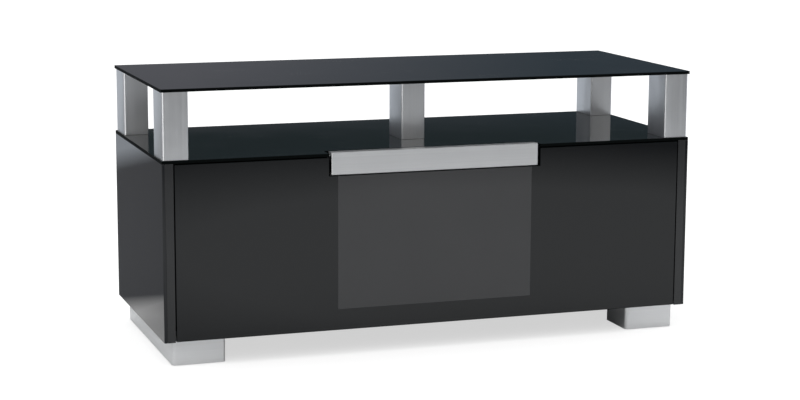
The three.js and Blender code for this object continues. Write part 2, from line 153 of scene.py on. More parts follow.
# Handling: soft cloudy smudges that dull the gloss, and dust that settles on what faces up
handling, n, given, out = effect(
    "handling marks",
    [
        ("Vector", "NodeSocketVector", (0, 0, 0)),
        ("Smudge Scale", "NodeSocketFloat", 6.0),
        ("Dust Scale", "NodeSocketFloat", 700.0),
    ],
    [("Smudge", "NodeSocketFloat"), ("Dust", "NodeSocketFloat")],
)
clouds = n.noise(given["Vector"], given["Smudge Scale"], detail=5.0, roughness=0.62)
connect(n, n.ramp(clouds, low=0.48, high=0.75), out["Smudge"])
specks = n.noise(given["Vector"], given["Dust Scale"], detail=1.0)
drift = n.noise(given["Vector"], scale=9.0, detail=2.0)
normal = n.add("ShaderNodeNewGeometry").outputs["Normal"]
upward = n.ramp(n.add("ShaderNodeSeparateXYZ", {0: normal}).outputs["Z"], low=0.6, high=1.0)
settled = n.math("MULTIPLY", n.ramp(specks, low=0.66, high=0.74), n.ramp(drift, low=0.35, high=0.7))
connect(n, n.math("MULTIPLY", settled, upward), out["Dust"])

# Pebble: the fine pressed texture of laminate and of moulded plastic
pebble, n, given, out = effect(
    "pressed pebble",
    [("Vector", "NodeSocketVector", (0, 0, 0)), ("Scale", "NodeSocketFloat", 900.0)],
    [("Height", "NodeSocketFloat"), ("Tone", "NodeSocketFloat")],
)
spread = {"Vector": given["Vector"], "Scale": given["Scale"]}
cells = n.add("ShaderNodeTexVoronoi", spread, feature="SMOOTH_F1")
connect(n, cells.outputs["Distance"], out["Height"])
connect(n, n.noise(given["Vector"], scale=14.0, detail=4.0), out["Tone"])


def pebbled(name, dark, light, roughness, scale, depth):
    """A dull black surface: pressed texture, slow colour drift, smudges and a little dust."""
    dust, dust_cover, smudge_dulling = (0.32, 0.31, 0.29, 1), 0.5, 0.14
    made, n, place, shader = material(name, IOR=1.47)
    pressed = n.group(pebble, Vector=place, Scale=scale)
    marks = n.group(handling, Vector=place, Smudge_Scale=9.0)
    tone = n.mix(n.ramp(pressed["Tone"], low=0.3, high=0.7), dark, light)
    dusty = n.mix(n.math("MULTIPLY", marks["Dust"], dust_cover), tone, dust)
    connect(n, dusty, shader.inputs["Base Color"])
    connect(n, n.math("MULTIPLY_ADD", marks["Smudge"], smudge_dulling, roughness), shader.inputs["Roughness"])
    bump = n.add("ShaderNodeBump", {"Height": pressed["Height"], "Strength": 0.35, "Distance": depth})
    connect(n, bump.outputs["Normal"], shader.inputs["Normal"])
    return made


laminate = pebbled(
    "satin black laminate", dark=(0.010, 0.010, 0.011, 1), light=(0.016, 0.016, 0.017, 1),
    roughness=0.36, scale=1400.0, depth=0.06 * MM,
)
edge_band = pebbled(
    "black edge band", dark=(0.014, 0.014, 0.015, 1), light=(0.020, 0.020, 0.021, 1),
    roughness=0.24, scale=2200.0, depth=0.03 * MM,
)


def eased(item, width, segments=2, angle=30, smooth=True):
    """Rounds an object's sharp edges by width, keeping its flats flat."""
    modifier = item.modifiers.new("eased edges", "BEVEL")
    modifier.width = width
    modifier.segments = segments
    modifier.limit_method = "ANGLE"
    modifier.angle_limit = math.radians(angle)
    modifier.harden_normals = smooth
    modifier.use_clamp_overlap = True
    if smooth:
        for face in item.data.polygons:
            face.use_smooth = True
    return item


WELD_GAP = 0.01 * MM


def finish_node(node, surface, width=0.0, segments=2):
    """Gives a CAD node its material, and eases its edges where it has any that show."""
    item = frame["nodes"][node]
    if not item.data.materials:
        item.data.materials.append(surface)
    for index in range(len(item.material_slots)):
        item.material_slots[index].material = surface
    if width:
        weld = item.modifiers.new("joined corners", "WELD")
        weld.merge_threshold = WELD_GAP
        eased(item, width, segments, smooth=False)


for node in ("top_board", "bottom_board", "divider_left", "divider_right", "centre_shelf"):
    finish_node(node, laminate, width=0.3 * MM)

lacquer = pebbled(
    "black gloss lacquer", dark=(0.021, 0.022, 0.023, 1), light=(0.025, 0.026, 0.027, 1),
    roughness=0.10, scale=300.0, depth=0.01 * MM,
)
for node in ("side_board_left", "side_board_right"):
    finish_node(node, lacquer, width=0.3 * MM)


def build(name, mesh, surface, body, replaced=()):
    """Makes a piece from a bmesh, hangs it on its CAD body and gives it its material."""
    bmesh.ops.recalc_face_normals(mesh, faces=mesh.faces)
    data = bpy.data.meshes.new(name)
    mesh.to_mesh(data)
    mesh.free()
    data.materials.append(surface)
    item = bpy.data.objects.new(name, data)
    bpy.context.scene.collection.objects.link(item)
    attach(item, body)
    if replaced:
        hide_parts(*replaced)
    return item


def add_block(mesh, low, high):
    """Adds a rectangular block between two corners to a mesh under construction."""
    low, high = Vector(low), Vector(high)
    size = high - low
    place = Matrix.Translation((low + high) / 2) @ Matrix.Diagonal((*size, 1.0))
    bmesh.ops.create_cube(mesh, size=1.0, matrix=place)


# The band runs down the front edge of every board that the open flap shows
BAND = 0.6 * MM
for node in ("bottom_board", "divider_left", "divider_right", "centre_shelf"):
    low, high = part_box(node)
    strip = bmesh.new()
    add_block(strip, (low.x, low.y - BAND, low.z), (high.x, low.y, high.z))
    eased(build(f"edge_band_{node}", strip, edge_band, "carcass"), width=0.2 * MM)

# ---------------------------------------------------------------- back panels
# Thin hardboard, black on the outside, let in behind the boards and held with small screws.
# The middle panel stops short of the floor, and a rubber trim covers its lower edge.
hardboard = pebbled(
    "black hardboard", dark=(0.013, 0.013, 0.013, 1), light=(0.024, 0.023, 0.022, 1),
    roughness=0.55, scale=520.0, depth=0.12 * MM,
)
BACKS = ["back_panel_left", "back_panel_right", "back_panel_centre"]
for node in BACKS:
    finish_node(node, hardboard, width=0.25 * MM)


def add_turned(mesh, profile, origin, axis, segments=28):
    """Adds a turned solid: (along, radius) points swept round an axis that starts at origin."""
    origin, axis = Vector(origin), Vector(axis).normalized()
    across = axis.orthogonal().normalized()
    other = axis.cross(across)
    closed = profile[0][1] > 0
    rings = []
    for along, radius in profile:
        centre = origin + axis * along
        if radius == 0:
            rings.append([mesh.verts.new(centre)])
            continue
        turns = [2 * math.pi * k / segments for k in range(segments)]
        spokes = [across * math.cos(turn) + other * math.sin(turn) for turn in turns]
        rings.append([mesh.verts.new(centre + spoke * radius) for spoke in spokes])
    pairs = list(zip(rings, rings[1:]))
    if closed:
        pairs.append((rings[-1], rings[0]))
    for a, b in pairs:
        for k in range(segments):
            j = (k + 1) % segments
            corners = [a[k % len(a)], a[j % len(a)], b[j % len(b)], b[k % len(b)]]
            mesh.faces.new(dict.fromkeys(corners))


def add_rod(mesh, start, end, radius, chamfer=0.4 * MM, segments=28):
    """Adds a round bar with chamfered ends."""
    start, end = Vector(start), Vector(end)
    length = (end - start).length
    profile = [(0, 0), (0, radius - chamfer), (chamfer, radius)]
    profile += [(length - chamfer, radius), (length, radius - chamfer), (length, 0)]
    add_turned(mesh, profile, start, end - start, segments)


def add_screw_head(mesh, centre, axis, radius, segments=20):
    """Adds a domed pan head with a round socket, standing on centre and pointing along axis."""
    rise, socket, crown, dome = radius * 0.62, radius * 0.42, radius * 0.52, radius * 0.82
    rim, shoulder = rise * 0.35, rise * 0.75
    profile = [(0, 0), (0, radius), (rim, radius), (shoulder, dome), (rise, crown)]
    profile += [(rise, socket), (rim, socket), (rim, 0)]
    add_turned(mesh, profile, centre, axis, segments)


# Grain: long parallel scratches, fine ones over broad ones, drawn out along the brushing
grain, n, given, out = effect(
    "brushed grain",
    [
        ("Vector", "NodeSocketVector", (0, 0, 0)),
        ("Stretch", "NodeSocketVector", (1, 1, 1)),
        ("Fine Scale", "NodeSocketFloat", 1.0),
    ],
    [("Height", "NodeSocketFloat"), ("Tone", "NodeSocketFloat"), ("Drift", "NodeSocketFloat")],
)
BROAD_TO_FINE = 0.16
FINE_HEIGHT, BROAD_HEIGHT = 0.65, 0.35
FINE_TONE, BROAD_TONE = 0.5, 0.5
along = {0: given["Vector"], 1: given["Stretch"]}
drawn = n.add("ShaderNodeVectorMath", along, operation="MULTIPLY").outputs[0]
fine = n.noise(drawn, given["Fine Scale"], detail=2.0)
broad = n.noise(drawn, n.math("MULTIPLY", given["Fine Scale"], BROAD_TO_FINE), detail=3.0)
height = n.math("MULTIPLY_ADD", broad, BROAD_HEIGHT, n.math("MULTIPLY", fine, FINE_HEIGHT))
tone = n.math("MULTIPLY_ADD", fine, FINE_TONE, n.math("MULTIPLY", broad, BROAD_TONE))
connect(n, height, out["Height"])
connect(n, n.ramp(tone, low=0.32, high=0.68), out["Tone"])
connect(n, n.noise(given["Vector"], scale=7.0, detail=4.0), out["Drift"])


def brushed(name, dark, light, roughness, stretch, depth=0.04 * MM, anisotropic=0.4, metallic=1.0):
    """A brushed metal: grain in its height, colour and gloss, with a little handling over it."""
    dust, dust_cover = (0.5, 0.49, 0.47, 1), 0.35
    grain_dulling, smudge_dulling, drift_dulling = 0.10, 0.08, 0.06
    made, n, place, shader = material(name, Metallic=metallic, Anisotropic=anisotropic)
    lines = n.group(grain, Vector=place, Stretch=stretch, Fine_Scale=1.0)
    marks = n.group(handling, Vector=place, Smudge_Scale=14.0)
    tone = n.mix(lines["Tone"], dark, light)
    dusty = n.mix(n.math("MULTIPLY", marks["Dust"], dust_cover), tone, dust)
    connect(n, dusty, shader.inputs["Base Color"])
    worn = n.math("MULTIPLY_ADD", lines["Tone"], grain_dulling, roughness)
    worn = n.math("MULTIPLY_ADD", marks["Smudge"], smudge_dulling, worn)
    connect(n, n.math("MULTIPLY_ADD", lines["Drift"], drift_dulling, worn), shader.inputs["Roughness"])
    bump = n.add("ShaderNodeBump", {"Height": lines["Height"], "Strength": 0.12, "Distance": depth})
    connect(n, bump.outputs["Normal"], shader.inputs["Normal"])
    return made


zinc = brushed(
    "zinc plated steel", dark=(0.46, 0.47, 0.48, 1), light=(0.60, 0.61, 0.62, 1),
    roughness=0.26, stretch=(260, 260, 260), depth=0.01 * MM, anisotropic=0.0,
)
blackened = brushed(
    "blackened screw steel", dark=(0.03, 0.03, 0.032, 1), light=(0.06, 0.06, 0.063, 1),
    roughness=0.34, stretch=(300, 300, 300), depth=0.01 * MM, anisotropic=0.0,
)
SCREW_R = 3.2 * MM
for node in BACKS:
    low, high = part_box(node)
    heads = bmesh.new()
    inset = 9 * MM
    rows = [low.z + inset, (low.z + high.z) / 2, high.z - inset]
    columns = [low.x + inset, (low.x + high.x) / 2, high.x - inset]
    if node == "back_panel_centre":
        rows = rows[1:]
    for x in columns:
        for z in rows:
            if x == columns[1] and z != rows[-1]:
                continue
            add_screw_head(heads, (x, high.y, z), (0, 1, 0), SCREW_R)
    build(f"{node}_screws", heads, blackened, "carcass")


def add_extrusion(mesh, outline, axis, start, end):
    """Adds an outline drawn across an axis and carried from start to end along it."""
    order = {"x": (1, 2, 0), "y": (0, 2, 1), "z": (0, 1, 2)}[axis]
    rings = []
    for along in (start, end):
        ring = []
        for a, b in outline:
            point = [0.0, 0.0, 0.0]
            point[order[0]], point[order[1]], point[order[2]] = a, b, along
            ring.append(mesh.verts.new(point))
        rings.append(ring)
    count = len(outline)
    mesh.faces.new(rings[0])
    mesh.faces.new(rings[1])
    for k in range(count):
        j = (k + 1) % count
        mesh.faces.new((rings[0][k], rings[0][j], rings[1][j], rings[1][k]))


rubber = pebbled(
    "black rubber", dark=(0.012, 0.012, 0.012, 1), light=(0.018, 0.018, 0.018, 1),
    roughness=0.62, scale=1600.0, depth=0.05 * MM,
)
low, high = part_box("back_panel_centre")
clearance, lip, grip = 1 * MM, 1.2 * MM, 9 * MM
slot_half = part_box("divider_right")[0].x - clearance
front, back, bottom = low.y - lip, high.y + lip, low.z - lip
trim = bmesh.new()
channel = [(front, bottom), (back, bottom), (back, low.z + grip), (high.y, low.z + grip)]
channel += [(high.y, low.z), (low.y, low.z), (low.y, low.z + grip), (front, low.z + grip)]
add_extrusion(trim, channel, "x", -slot_half, slot_half)
eased(build("cable_slot_trim", trim, rubber, "carcass"), width=0.4 * MM)

# ---------------------------------------------------------------- fittings in the carcass
# Pressed covers over the board connectors, zinc plated shelf pins with a collar, plastic hinge
# bushes, and magnetic catches with two steel pole strips each, fixed up under the top board.
plastic = pebbled(
    "black moulded plastic", dark=(0.014, 0.014, 0.015, 1), light=(0.019, 0.019, 0.020, 1),
    roughness=0.42, scale=1800.0, depth=0.04 * MM,
)
COVER_R = 8.5 * MM
COVER_CROWN_R = 7.1 * MM
COVER_RIM = 0.9 * MM
COVER_RISE = 1.6 * MM
COVER_Y = (-120 * MM, 130 * MM)
COVER_FROM_BOARD = 34 * MM
COLLAR_RISE = 1.3 * MM
COLLAR_WIDTH = 0.8 * MM
POLE_SPACING = 6 * MM
POLE_HALF_LENGTH = 9 * MM
POLE_HALF_THICKNESS = 0.8 * MM
POLE_PROUD = 0.4 * MM
POLE_DEPTH = 2 * MM
cover_profile = [(0, 0), (0, COVER_R), (COVER_RIM, COVER_R), (COVER_RISE, COVER_CROWN_R), (COVER_RISE, 0)]
cover_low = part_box("bottom_board")[1].z + COVER_FROM_BOARD
cover_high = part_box("top_board")[0].z - COVER_FROM_BOARD
for side, s in (("left", -1), ("right", 1)):
    covers = bmesh.new()
    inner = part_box(f"side_board_{side}")
    face_x = inner[1].x if s < 0 else inner[0].x
    for y in COVER_Y:
        for z in (cover_low, cover_high):
            add_turned(covers, cover_profile, (face_x, y, z), (-s, 0, 0))
    build(f"connector_covers_{side}", covers, plastic, "carcass")

    for row in ("front", "rear"):
        node = f"shelf_pin_{row}_{side}"
        low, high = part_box(node)
        centre_y, centre_z = (low.y + high.y) / 2, (low.z + high.z) / 2
        radius = (high.z - low.z) / 2
        tip, root = (high.x, low.x) if s < 0 else (low.x, high.x)
        pin = bmesh.new()
        add_rod(pin, (root, centre_y, centre_z), (tip, centre_y, centre_z), radius)
        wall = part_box(f"divider_{side}")[1].x if s < 0 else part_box(f"divider_{side}")[0].x
        rim = radius + COLLAR_RISE
        collar = [(0, radius), (0, rim), (COLLAR_WIDTH, rim), (COLLAR_WIDTH, radius)]
        add_turned(pin, collar, (wall, centre_y, centre_z), (-s, 0, 0))
        eased(build(f"{node}_turned", pin, zinc, "carcass", [node]), width=0.1 * MM)

    finish_node(f"hinge_bush_{side}", plastic)

    node = f"catch_magnet_{side}"
    finish_node(node, plastic, width=1.0 * MM, segments=3)
    low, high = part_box(node)
    poles = bmesh.new()
    middle_x, middle_z = (low.x + high.x) / 2, (low.z + high.z) / 2
    for z in (middle_z - POLE_SPACING / 2, middle_z + POLE_SPACING / 2):
        add_block(
            poles,
            (middle_x - POLE_HALF_LENGTH, low.y - POLE_PROUD, z - POLE_HALF_THICKNESS),
            (middle_x + POLE_HALF_LENGTH, low.y + POLE_DEPTH, z + POLE_HALF_THICKNESS),
        )
    eased(build(f"catch_poles_{side}", poles, zinc, "carcass"), width=0.15 * MM)

# ---------------------------------------------------------------- feet
# One aluminium sheet folded round the front, the outer side and the rear of each end, brushed
# level, glued over two black blocks that stand on felt pads.
foot_metal = brushed(
    "aluminium brushed level", dark=(0.78, 0.79, 0.80, 1), light=(0.84, 0.85, 0.86, 1),
    roughness=0.34, stretch=(4, 4, 1400),
)

felt, n, place, shader = material("dark felt", Roughness=0.95, Sheen_Weight=0.4)
fibres = n.noise(place, scale=2600.0, detail=3.0)
connect(n, n.mix(fibres, (0.02, 0.02, 0.02, 1), (0.07, 0.07, 0.068, 1)), shader.inputs["Base Color"])
bump = n.add("ShaderNodeBump", {"Height": fibres, "Strength": 0.6, "Distance": 0.3 * MM})
connect(n, bump.outputs["Normal"], shader.inputs["Normal"])


def arc(cx, cy, radius, start, end, steps=8):
    """Points round part of a circle, in degrees."""
    turns = [math.radians(start + (end - start) * k / steps) for k in range(steps + 1)]
    return [(cx + radius * math.cos(t), cy + radius * math.sin(t)) for t in turns]


SHEET = 3 * MM
BEND = 8 * MM
PAD_THICKNESS = 3 * MM
PAD_INSET = 4 * MM
for side, s in (("left", -1), ("right", 1)):
    node = f"foot_fascia_{side}"
    low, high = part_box(node)
    near, far = sorted((abs(low.x), abs(high.x)))
    fold_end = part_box(f"foot_block_rear_{side}")[0].y
    outline = [(near, -fold_end)]
    outline += arc(near + BEND, low.y + BEND, BEND, 180, 270)
    outline += arc(far - BEND, low.y + BEND, BEND, 270, 360)
    outline += arc(far - BEND, high.y - BEND, BEND, 0, 90)
    outline += arc(near + BEND, high.y - BEND, BEND, 90, 180)
    outline += [(near, fold_end), (near + SHEET, fold_end)]
    outline += arc(near + BEND, high.y - BEND, BEND - SHEET, 180, 90)
    outline += arc(far - BEND, high.y - BEND, BEND - SHEET, 90, 0)
    outline += arc(far - BEND, low.y + BEND, BEND - SHEET, 360, 270)
    outline += arc(near + BEND, low.y + BEND, BEND - SHEET, 270, 180)
    outline += [(near + SHEET, -fold_end)]
    cover = bmesh.new()
    add_extrusion(cover, [(s * x, y) for x, y in outline], "z", low.z, high.z)
    piece = build(f"foot_cover_{side}", cover, foot_metal, "carcass", [node])
    eased(piece, width=0.5 * MM, segments=3, angle=40)

    for end in ("front", "rear"):
        node = f"foot_block_{end}_{side}"
        low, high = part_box(node)
        pad_top = low.z + PAD_THICKNESS
        core = bmesh.new()
        add_block(core, (low.x, low.y, pad_top), high)
        piece = build(f"foot_core_{end}_{side}", core, laminate, "carcass", [node])
        eased(piece, width=3 * MM, segments=3)
        pad = bmesh.new()
        pad_high = (high.x - PAD_INSET, high.y - PAD_INSET, pad_top)
        add_block(pad, (low.x + PAD_INSET, low.y + PAD_INSET, low.z), pad_high)
        piece = build(f"foot_pad_{end}_{side}", pad, felt, "carcass", [node])
        eased(piece, width=1.2 * MM, segments=3)

# ---------------------------------------------------------------- glass
# Float glass 6 mm thick, painted black on the back, so that the surface is a clear gloss over a
# deep blue-black. Its edges are ground to a small arris, and all but the side sheets' look darker.


def painted_glass(name, deep, roughness):
    """Back-painted glass: an almost flat gloss with the slight waviness of float glass."""
    dust, dust_cover, dust_dulling, smudge_dulling = (0.35, 0.35, 0.34, 1), 0.35, 0.3, 0.035
    made, n, place, shader = material(name, IOR=1.5)
    marks = n.group(handling, Vector=place, Smudge_Scale=5.0, Dust_Scale=900.0)
    dusty = n.mix(n.math("MULTIPLY", marks["Dust"], dust_cover), deep, dust)
    connect(n, dusty, shader.inputs["Base Color"])
    gloss = n.math("MULTIPLY_ADD", marks["Smudge"], smudge_dulling, roughness)
    connect(n, n.math("MULTIPLY_ADD", marks["Dust"], dust_dulling, gloss), shader.inputs["Roughness"])
    wave = n.noise(place, scale=5.0, detail=1.0)
    bump = n.add("ShaderNodeBump", {"Height": wave, "Strength": 0.25, "Distance": 0.6 * MM})
    connect(n, bump.outputs["Normal"], shader.inputs["Normal"])
    return made, n, place, shader


black_glass = painted_glass("black painted glass", deep=(0.0035, 0.0045, 0.006, 1), roughness=0.03)[0]

ground_edge, n, place, shader = material("ground glass edge", Specular_IOR_Level=0.04)
streaks = n.noise(place, scale=420.0, detail=2.0)
rim_tone = n.mix(streaks, (0.0006, 0.0012, 0.0012, 1), (0.0018, 0.003, 0.003, 1))
connect(n, rim_tone, shader.inputs["Base Color"])
connect(n, n.ramp(streaks, low=0.3, high=0.7, to_low=0.5, to_high=0.65), shader.inputs["Roughness"])
ARRIS = 0.7 * MM


def glass_sheet(node, across, surface, body, edge=ground_edge):
    """Takes a sheet's exact shape from its CAD node, and gives its edges a finish of their own."""
    mesh = bmesh.new()
    mesh.from_mesh(frame["nodes"][node].data)
    bmesh.ops.remove_doubles(mesh, verts=mesh.verts, dist=WELD_GAP)
    item = build(f"{node}_sheet", mesh, surface, body, [node])
    item.data.materials.append(edge)
    axis = "xyz".index(across)
    for face in item.data.polygons:
        is_edge = abs(face.normal[axis]) < 0.5
        face.material_index = int(is_edge)
    eased(item, width=ARRIS, smooth=False).modifiers[0].material = 1


glass_sheet("top_glass", "z", black_glass, "carcass")
glass_sheet("deck_glass", "z", black_glass, "carcass")
for side in ("left", "right"):
    glass_sheet(f"side_glass_{side}", "x", black_glass, "carcass", edge=black_glass)

# ---------------------------------------------------------------- posts
# Rectangular aluminium tube brushed upright, its saw cuts deburred. A steel plug sits in the
# foot of each, and an M8 bolt comes up through the top board and the deck glass into it.
post_metal = brushed(
    "aluminium brushed upright", dark=(0.78, 0.79, 0.80, 1), light=(0.82, 0.83, 0.84, 1),
    roughness=0.25, stretch=(1300, 1300, 4), depth=0.008 * MM,
)
WALL = 2.5 * MM
CORNER = 3 * MM
HEAD_R = 6.2 * MM
HEAD_TOP_R = 5.4 * MM
HEAD_CHAMFER = 0.8 * MM
HEAD_LENGTH = 6 * MM
SOCKET_R = 3.4 * MM
SOCKET_DEPTH = 3 * MM
SHANK_R = 4 * MM


def rounded_rectangle(x0, x1, y0, y1, radius, steps=6):
    """The outline of a rectangle with round corners."""
    points = arc(x1 - radius, y1 - radius, radius, 0, 90, steps)
    points += arc(x0 + radius, y1 - radius, radius, 90, 180, steps)
    points += arc(x0 + radius, y0 + radius, radius, 180, 270, steps)
    points += arc(x1 - radius, y0 + radius, radius, 270, 360, steps)
    return points


def add_tube(mesh, outer, inner, bottom, top):
    """Adds a hollow tube between two outlines that have the same number of points."""
    loops = []
    for outline, z in ((outer, bottom), (outer, top), (inner, top), (inner, bottom)):
        loops.append([mesh.verts.new((x, y, z)) for x, y in outline])
    count = len(outer)
    for index, loop in enumerate(loops):
        after = loops[(index + 1) % len(loops)]
        for k in range(count):
            j = (k + 1) % count
            mesh.faces.new((loop[k], loop[j], after[j], after[k]))


for place_name in ("front_left", "front_right", "rear_left", "rear_right", "centre"):
    low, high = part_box(f"post_{place_name}")
    tube = bmesh.new()
    outer = rounded_rectangle(low.x, high.x, low.y, high.y, CORNER)
    inner = rounded_rectangle(low.x + WALL, high.x - WALL, low.y + WALL, high.y - WALL, CORNER - WALL)
    add_tube(tube, outer, inner, low.z, high.z)
    replaced = [f"post_{place_name}"]
    post = build(f"post_tube_{place_name}", tube, post_metal, "carcass", replaced)
    eased(post, width=0.5 * MM, segments=3, angle=40)
    finish_node(f"post_plug_{place_name}", zinc)

    node = f"post_bolt_{place_name}"
    low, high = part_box(node)
    centre_x, centre_y, length = (low.x + high.x) / 2, (low.y + high.y) / 2, high.z - low.z
    profile = [(SOCKET_DEPTH, 0), (SOCKET_DEPTH, SOCKET_R), (0, SOCKET_R), (0, HEAD_TOP_R)]
    profile += [(HEAD_CHAMFER, HEAD_R), (HEAD_LENGTH, HEAD_R), (HEAD_LENGTH, SHANK_R)]
    profile += [(length, SHANK_R), (length, 0)]
    bolt = bmesh.new()
    add_turned(bolt, profile, (centre_x, centre_y, low.z), (0, 0, 1), segments=36)
    build(f"{node}_socket_head", bolt, zinc, "carcass", [node])

# ---------------------------------------------------------------- flap
# One sheet of painted glass bonded to two boards, a rail and a smoked pane. The paint leaves a
# window in the middle, which reads a little lighter, and a rebate at the top takes the handle.
window_low, window_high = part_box("window_pane")
PAINT_AT_SIDES = 17 * MM
PAINT_AT_FOOT = 1 * MM
PAINT_BELOW_HANDLE_TOP = 46 * MM
window_half = window_high.x - PAINT_AT_SIDES
window_bottom = window_low.z + PAINT_AT_FOOT
window_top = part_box("handle")[1].z - PAINT_BELOW_HANDLE_TOP

flap_glass, n, place, shader = painted_glass(
    "flap glass with window", deep=(0.0035, 0.0042, 0.0048, 1), roughness=0.03,
)
axes = n.add("ShaderNodeSeparateXYZ", {0: place}).outputs
across = n.math("LESS_THAN", n.math("ABSOLUTE", axes["X"]), window_half)
above = n.math("GREATER_THAN", axes["Z"], window_bottom)
below = n.math("LESS_THAN", axes["Z"], window_top)
window = n.math("MULTIPLY", across, n.math("MULTIPLY", above, below))
drift = n.noise(place, scale=6.0, detail=3.0)
tint = n.mix(drift, (0.032, 0.0325, 0.034, 1), (0.040, 0.0405, 0.042, 1))
painted = shader.inputs["Base Color"].links[0].from_socket
connect(n, n.mix(window, painted, tint), shader.inputs["Base Color"])
glass_sheet("flap_glass", "y", flap_glass, "flap")

SMOKED_ROUGHNESS, SMUDGE_DULLING = 0.06, 0.08
smoked, n, place, shader = material("smoked pane", IOR=1.5, Transmission_Weight=0.0)
marks = n.group(handling, Vector=place, Smudge_Scale=7.0)
smoke = n.mix(marks["Smudge"], (0.022, 0.023, 0.024, 1), (0.034, 0.035, 0.036, 1))
connect(n, smoke, shader.inputs["Base Color"])
dulled = n.math("MULTIPLY_ADD", marks["Smudge"], SMUDGE_DULLING, SMOKED_ROUGHNESS)
connect(n, dulled, shader.inputs["Roughness"])
finish_node("window_pane", smoked, width=0.5 * MM)
for node in ("flap_panel_left", "flap_panel_right", "flap_rail"):
    finish_node(node, laminate, width=0.4 * MM)

# ---------------------------------------------------------------- handle
# An aluminium extrusion brushed along its length: a flat face, a top flange with a lip behind
# it to pull on, and a tongue held to the flap by four small screws.
handle_metal = brushed(
    "aluminium brushed lengthways", dark=(0.76, 0.765, 0.77, 1), light=(0.84, 0.845, 0.85, 1),
    roughness=0.26, stretch=(4, 1400, 1400), metallic=0.9,
)
finish_node("handle", handle_metal, width=1.5 * MM, segments=3)
TONGUE = 3 * MM
HANDLE_SCREWS = 4
SCREW_RISE = 9 * MM
low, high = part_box("handle")
screws = bmesh.new()
for k in range(HANDLE_SCREWS):
    x = low.x + (high.x - low.x) * (k + 0.5) / HANDLE_SCREWS
    add_screw_head(screws, (x, window_high.y + TONGUE, low.z + SCREW_RISE), (0, 1, 0), SCREW_R)
build("handle_screws", screws, zinc, "flap")

# ---------------------------------------------------------------- hinges, catches and stays
# Zinc blocks with a turned pin carry the flap at its lower corners. A rod from each flap
# bracket slides through a swivelling housing on the side board and lets the flap down slowly.
HINGE_SCREW_R = 2.4 * MM
HINGE_SCREW_IN = 10 * MM
HINGE_SCREW_RISES = (5.5 * MM, 14.5 * MM)
BRACKET_SCREW_IN = 8 * MM
BRACKET_SCREW_INSET = 7 * MM
BRACKET_FLANGE = 2.5 * MM
CLIP_BORE_R, CLIP_R, CLIP_WIDTH = 2.9 * MM, 4.8 * MM, 0.8 * MM
CLIP_FROM_EYE = 4.6 * MM
EYE_HALF_WIDTH, EYE_R, EYE_BORE_R = 4 * MM, 8 * MM, 3.4 * MM
EYE_CHAMFER, EYE_BORE_CHAMFER = 0.8 * MM, 0.4 * MM
ROD_R, ROD_CHAMFER, ROD_END_GAP = 4 * MM, 0.8 * MM, 1 * MM
ROD_FROM_EYE = 6.5 * MM
BUSH_BORE_R, BUSH_R, BUSH_RIM_R, BUSH_WIDTH = 4.5 * MM, 7.0 * MM, 6.4 * MM, 1.2 * MM
BUSH_FROM_SWIVEL = 18 * MM
SWIVEL_CAP_R, SWIVEL_CAP_OUT = 5 * MM, 9 * MM

eye_in, eye_out = EYE_HALF_WIDTH - EYE_BORE_CHAMFER, EYE_HALF_WIDTH - EYE_CHAMFER
eye_wide, eye_round = EYE_BORE_R + EYE_BORE_CHAMFER, EYE_R - EYE_CHAMFER
eye_half = [(eye_out, EYE_R), (EYE_HALF_WIDTH, eye_round), (EYE_HALF_WIDTH, eye_wide), (eye_in, EYE_BORE_R)]
eye_ring = [(-along, radius) for along, radius in reversed(eye_half)] + eye_half
clip = [(0, CLIP_BORE_R), (0, CLIP_R), (CLIP_WIDTH, CLIP_R), (CLIP_WIDTH, CLIP_BORE_R)]
bush = [(0, BUSH_BORE_R), (0, BUSH_R), (BUSH_WIDTH, BUSH_RIM_R), (BUSH_WIDTH, BUSH_BORE_R)]

pivots = {joint["name"]: Vector(joint["pos_m"]) for joint in frame["joints"]}
for side, s in (("left", -1), ("right", 1)):
    finish_node(f"hinge_pin_{side}", zinc, width=0.4 * MM)
    finish_node(f"catch_plate_{side}", zinc, width=0.3 * MM)
    finish_node(f"stay_bracket_{side}", zinc, width=0.4 * MM)
    finish_node(f"stay_housing_{side}", plastic, width=0.8 * MM, segments=3)

    fixings = bmesh.new()
    low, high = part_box(f"hinge_pin_{side}")
    screw_x = (low.x if s > 0 else high.x) + s * HINGE_SCREW_IN
    for rise in HINGE_SCREW_RISES:
        add_screw_head(fixings, (screw_x, high.y, low.z + rise), (0, 1, 0), HINGE_SCREW_R)
    low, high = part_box(f"stay_bracket_{side}")
    screw_x = (low.x if s > 0 else high.x) + s * BRACKET_SCREW_IN
    for z in (low.z + BRACKET_SCREW_INSET, high.z - BRACKET_SCREW_INSET):
        add_screw_head(fixings, (screw_x, low.y + BRACKET_FLANGE, z), (0, 1, 0), SCREW_R)
    eye = pivots[f"stay_eye_{side}"]
    add_turned(fixings, clip, eye + Vector((s * CLIP_FROM_EYE, 0, 0)), (s, 0, 0))
    build(f"flap_fixings_{side}", fixings, zinc, "flap")

    swivel = pivots[f"stay_swivel_{side}"]
    run = (swivel - eye).normalized()
    reach = (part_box(f"stay_rod_{side}")[1].y - eye.y) / run.y
    rod = bmesh.new()
    add_turned(rod, eye_ring, eye, (1, 0, 0), segments=36)
    add_rod(rod, eye + run * ROD_FROM_EYE, eye + run * (reach - ROD_END_GAP), ROD_R, ROD_CHAMFER)
    build(f"stay_rod_bar_{side}", rod, zinc, f"rod_{side}", [f"stay_rod_{side}"])

    bushes = bmesh.new()
    for way in (-1, 1):
        add_turned(bushes, bush, swivel + run * way * BUSH_FROM_SWIVEL, run * way, segments=32)
    inward = Vector((-s, 0, 0))
    add_screw_head(bushes, swivel + inward * SWIVEL_CAP_OUT, inward, SWIVEL_CAP_R, segments=28)
    build(f"stay_housing_fittings_{side}", bushes, zinc, f"housing_{side}")
